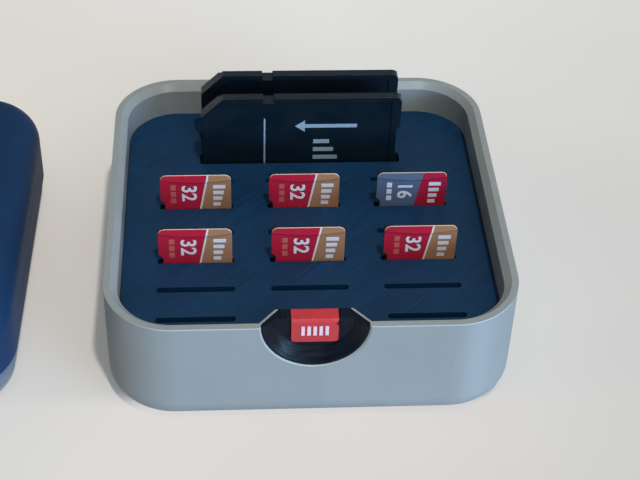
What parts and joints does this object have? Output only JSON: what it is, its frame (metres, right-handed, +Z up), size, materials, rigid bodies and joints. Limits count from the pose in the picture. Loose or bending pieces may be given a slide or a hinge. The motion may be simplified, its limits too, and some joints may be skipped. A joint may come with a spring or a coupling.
{
  "type": "memory card case",
  "caption": "Rounded-square printed tray with a slotted insert holding small memory cards and card adapters, a thumb scoop in the front wall and a lift-off lid beside it.",
  "frame": {"origin": "centre of the tray's flat underside", "axes": "+Z up, -Y towards the thumb scoop, -X towards the lid lying beside the tray"},
  "size_m": [0.1337, 0.0625, 0.0262],
  "materials": {
    "tray_print": "layered print",
    "insert_print": "layered print with a hatched top",
    "scoop_print": "layered print",
    "emblem_red": "layered print",
    "emblem_white": "layered print",
    "lid_print": "layered print",
    "lip_print": "layered print",
    "card_body": "moulded, with a printed label face",
    "adapter_body": "moulded, fine texture",
    "lock_body": "moulded",
    "contact_gold": "plated"
  },
  "bodies": {
    "tray": {"base_shell": "tray_print", "card_insert": "insert_print", "thumb_scoop": "scoop_print", "card_emblem": "emblem_red", "emblem_marks": "emblem_white"},
    "lid": {"lid_cap": "lid_print", "lid_lip": "lip_print"},
    "card_1": {"micro_card_1": "card_body", "micro_card_1_contacts": "contact_gold"},
    "card_2": {"micro_card_2": "card_body", "micro_card_2_contacts": "contact_gold"},
    "card_3": {"micro_card_3": "card_body", "micro_card_3_contacts": "contact_gold"},
    "card_4": {"micro_card_4": "card_body", "micro_card_4_contacts": "contact_gold"},
    "card_5": {"micro_card_5": "card_body", "micro_card_5_contacts": "contact_gold"},
    "card_6": {"micro_card_6": "card_body", "micro_card_6_contacts": "contact_gold"},
    "adapter_1": {"adapter_1_front": "adapter_body", "adapter_1_rear": "adapter_body", "adapter_1_contacts": "contact_gold"},
    "adapter_2": {"adapter_2_front": "adapter_body", "adapter_2_rear": "adapter_body", "adapter_2_contacts": "contact_gold"},
    "lock_1": {"adapter_1_lock": "lock_body"},
    "lock_2": {"adapter_2_lock": "lock_body"}
  },
  "joints": [
    {"name": "lid_lift", "type": "slide", "parent": "tray", "child": "lid", "axis": [0, 0, 1], "range_m": [0, 0.03]},
    {"name": "card_1_pull", "type": "slide", "parent": "tray", "child": "card_1", "axis": [0, 0, 1], "range_m": [0, 0.01]},
    {"name": "card_2_pull", "type": "slide", "parent": "tray", "child": "card_2", "axis": [0, 0, 1], "range_m": [0, 0.01]},
    {"name": "card_3_pull", "type": "slide", "parent": "tray", "child": "card_3", "axis": [0, 0, 1], "range_m": [0, 0.01]},
    {"name": "card_4_pull", "type": "slide", "parent": "tray", "child": "card_4", "axis": [0, 0, 1], "range_m": [0, 0.01]},
    {"name": "card_5_pull", "type": "slide", "parent": "tray", "child": "card_5", "axis": [0, 0, 1], "range_m": [0, 0.01]},
    {"name": "card_6_pull", "type": "slide", "parent": "tray", "child": "card_6", "axis": [0, 0, 1], "range_m": [0, 0.01]},
    {"name": "adapter_1_pull", "type": "slide", "parent": "tray", "child": "adapter_1", "axis": [0, 0, 1], "range_m": [0, 0.013]},
    {"name": "adapter_2_pull", "type": "slide", "parent": "tray", "child": "adapter_2", "axis": [0, 0, 1], "range_m": [0, 0.013]},
    {"name": "lock_1_slide", "type": "slide", "parent": "adapter_1", "child": "lock_1", "axis": [1, 0, 0], "range_m": [0, 0.002]},
    {"name": "lock_2_slide", "type": "slide", "parent": "adapter_2", "child": "lock_2", "axis": [1, 0, 0], "range_m": [0, 0.002]}
  ]
}
